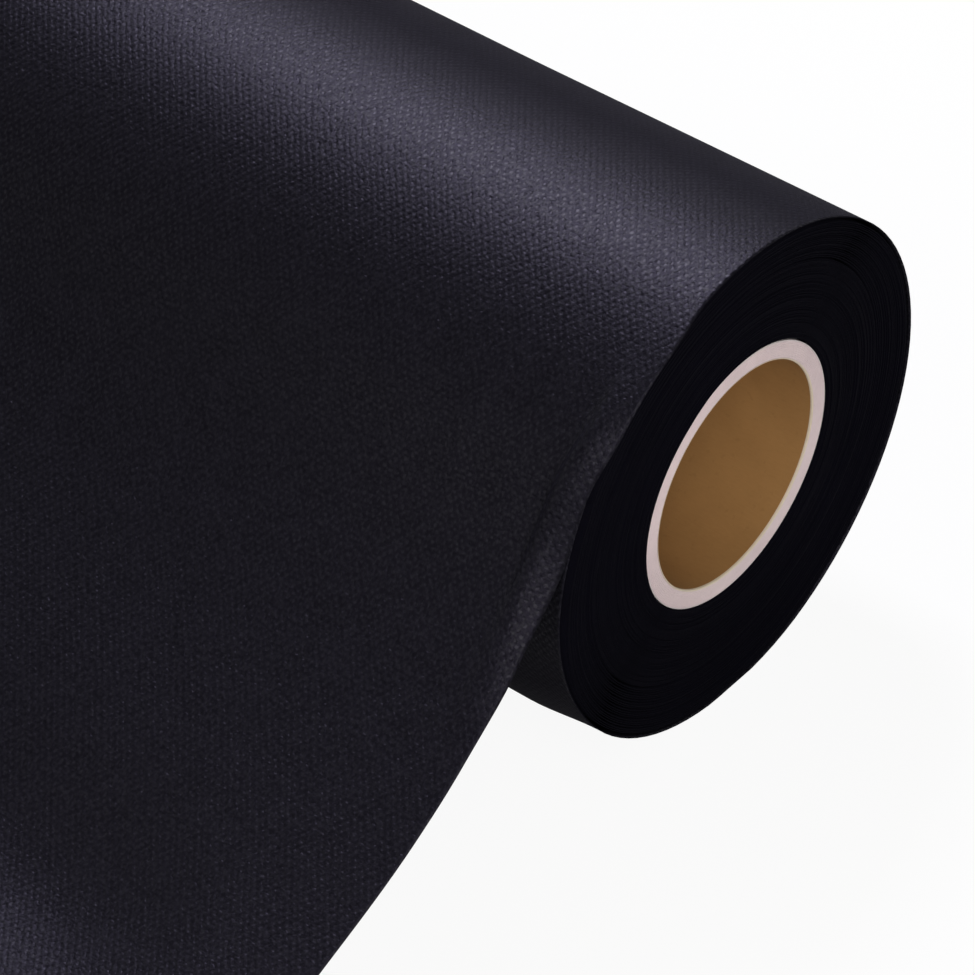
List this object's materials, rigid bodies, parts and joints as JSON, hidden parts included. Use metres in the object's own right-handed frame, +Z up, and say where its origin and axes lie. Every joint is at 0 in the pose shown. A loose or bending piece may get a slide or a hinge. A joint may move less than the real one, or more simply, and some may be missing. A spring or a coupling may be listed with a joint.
{
  "type": "roll of nonwoven fabric",
  "caption": "Wide roll of black nonwoven fabric on a paper core, with the outer turn paid out over the front and laid on the floor.",
  "frame": {"origin": "on the floor under the middle of the roll, at the centre of the flat that the roll rests on", "axes": "+X along the roll to its pictured end, -Y the way the web is paid out, +Z up"},
  "size_m": [1, 0.6963, 0.1715],
  "materials": {
    "kraft_liner": "plain brown kraft, matt",
    "core_board": "off-white cut board, matt",
    "core_outer_ply": "white paper, satin",
    "tape": "paper masking tape",
    "wound_fabric": "edges of wound nonwoven, matt black",
    "web_fabric": "black spunbond with a fine bonded point pattern, soft sheen"
  },
  "bodies": {
    "web": {"fabric_outer_turn": "web_fabric", "fabric_slack_turns": "wound_fabric"},
    "roll": {"core_liner": "kraft_liner", "core_board": "core_board", "core_outer_ply": "core_outer_ply", "start_tape": "tape", "fabric_pack": "wound_fabric"},
    "free_end": {"fabric_free_end": "web_fabric"}
  },
  "joints": [
    {"name": "roll_turn", "type": "hinge", "parent": "web", "child": "roll", "pos_m": [0, -0.0027, 0.0903], "axis": [1, 0, 0], "continuous": true},
    {"name": "free_end_fold", "type": "hinge", "parent": "web", "child": "free_end", "pos_m": [0, -0.39015, 0.0004], "axis": [-1, 0, 0], "range_deg": [0, 150]}
  ]
}
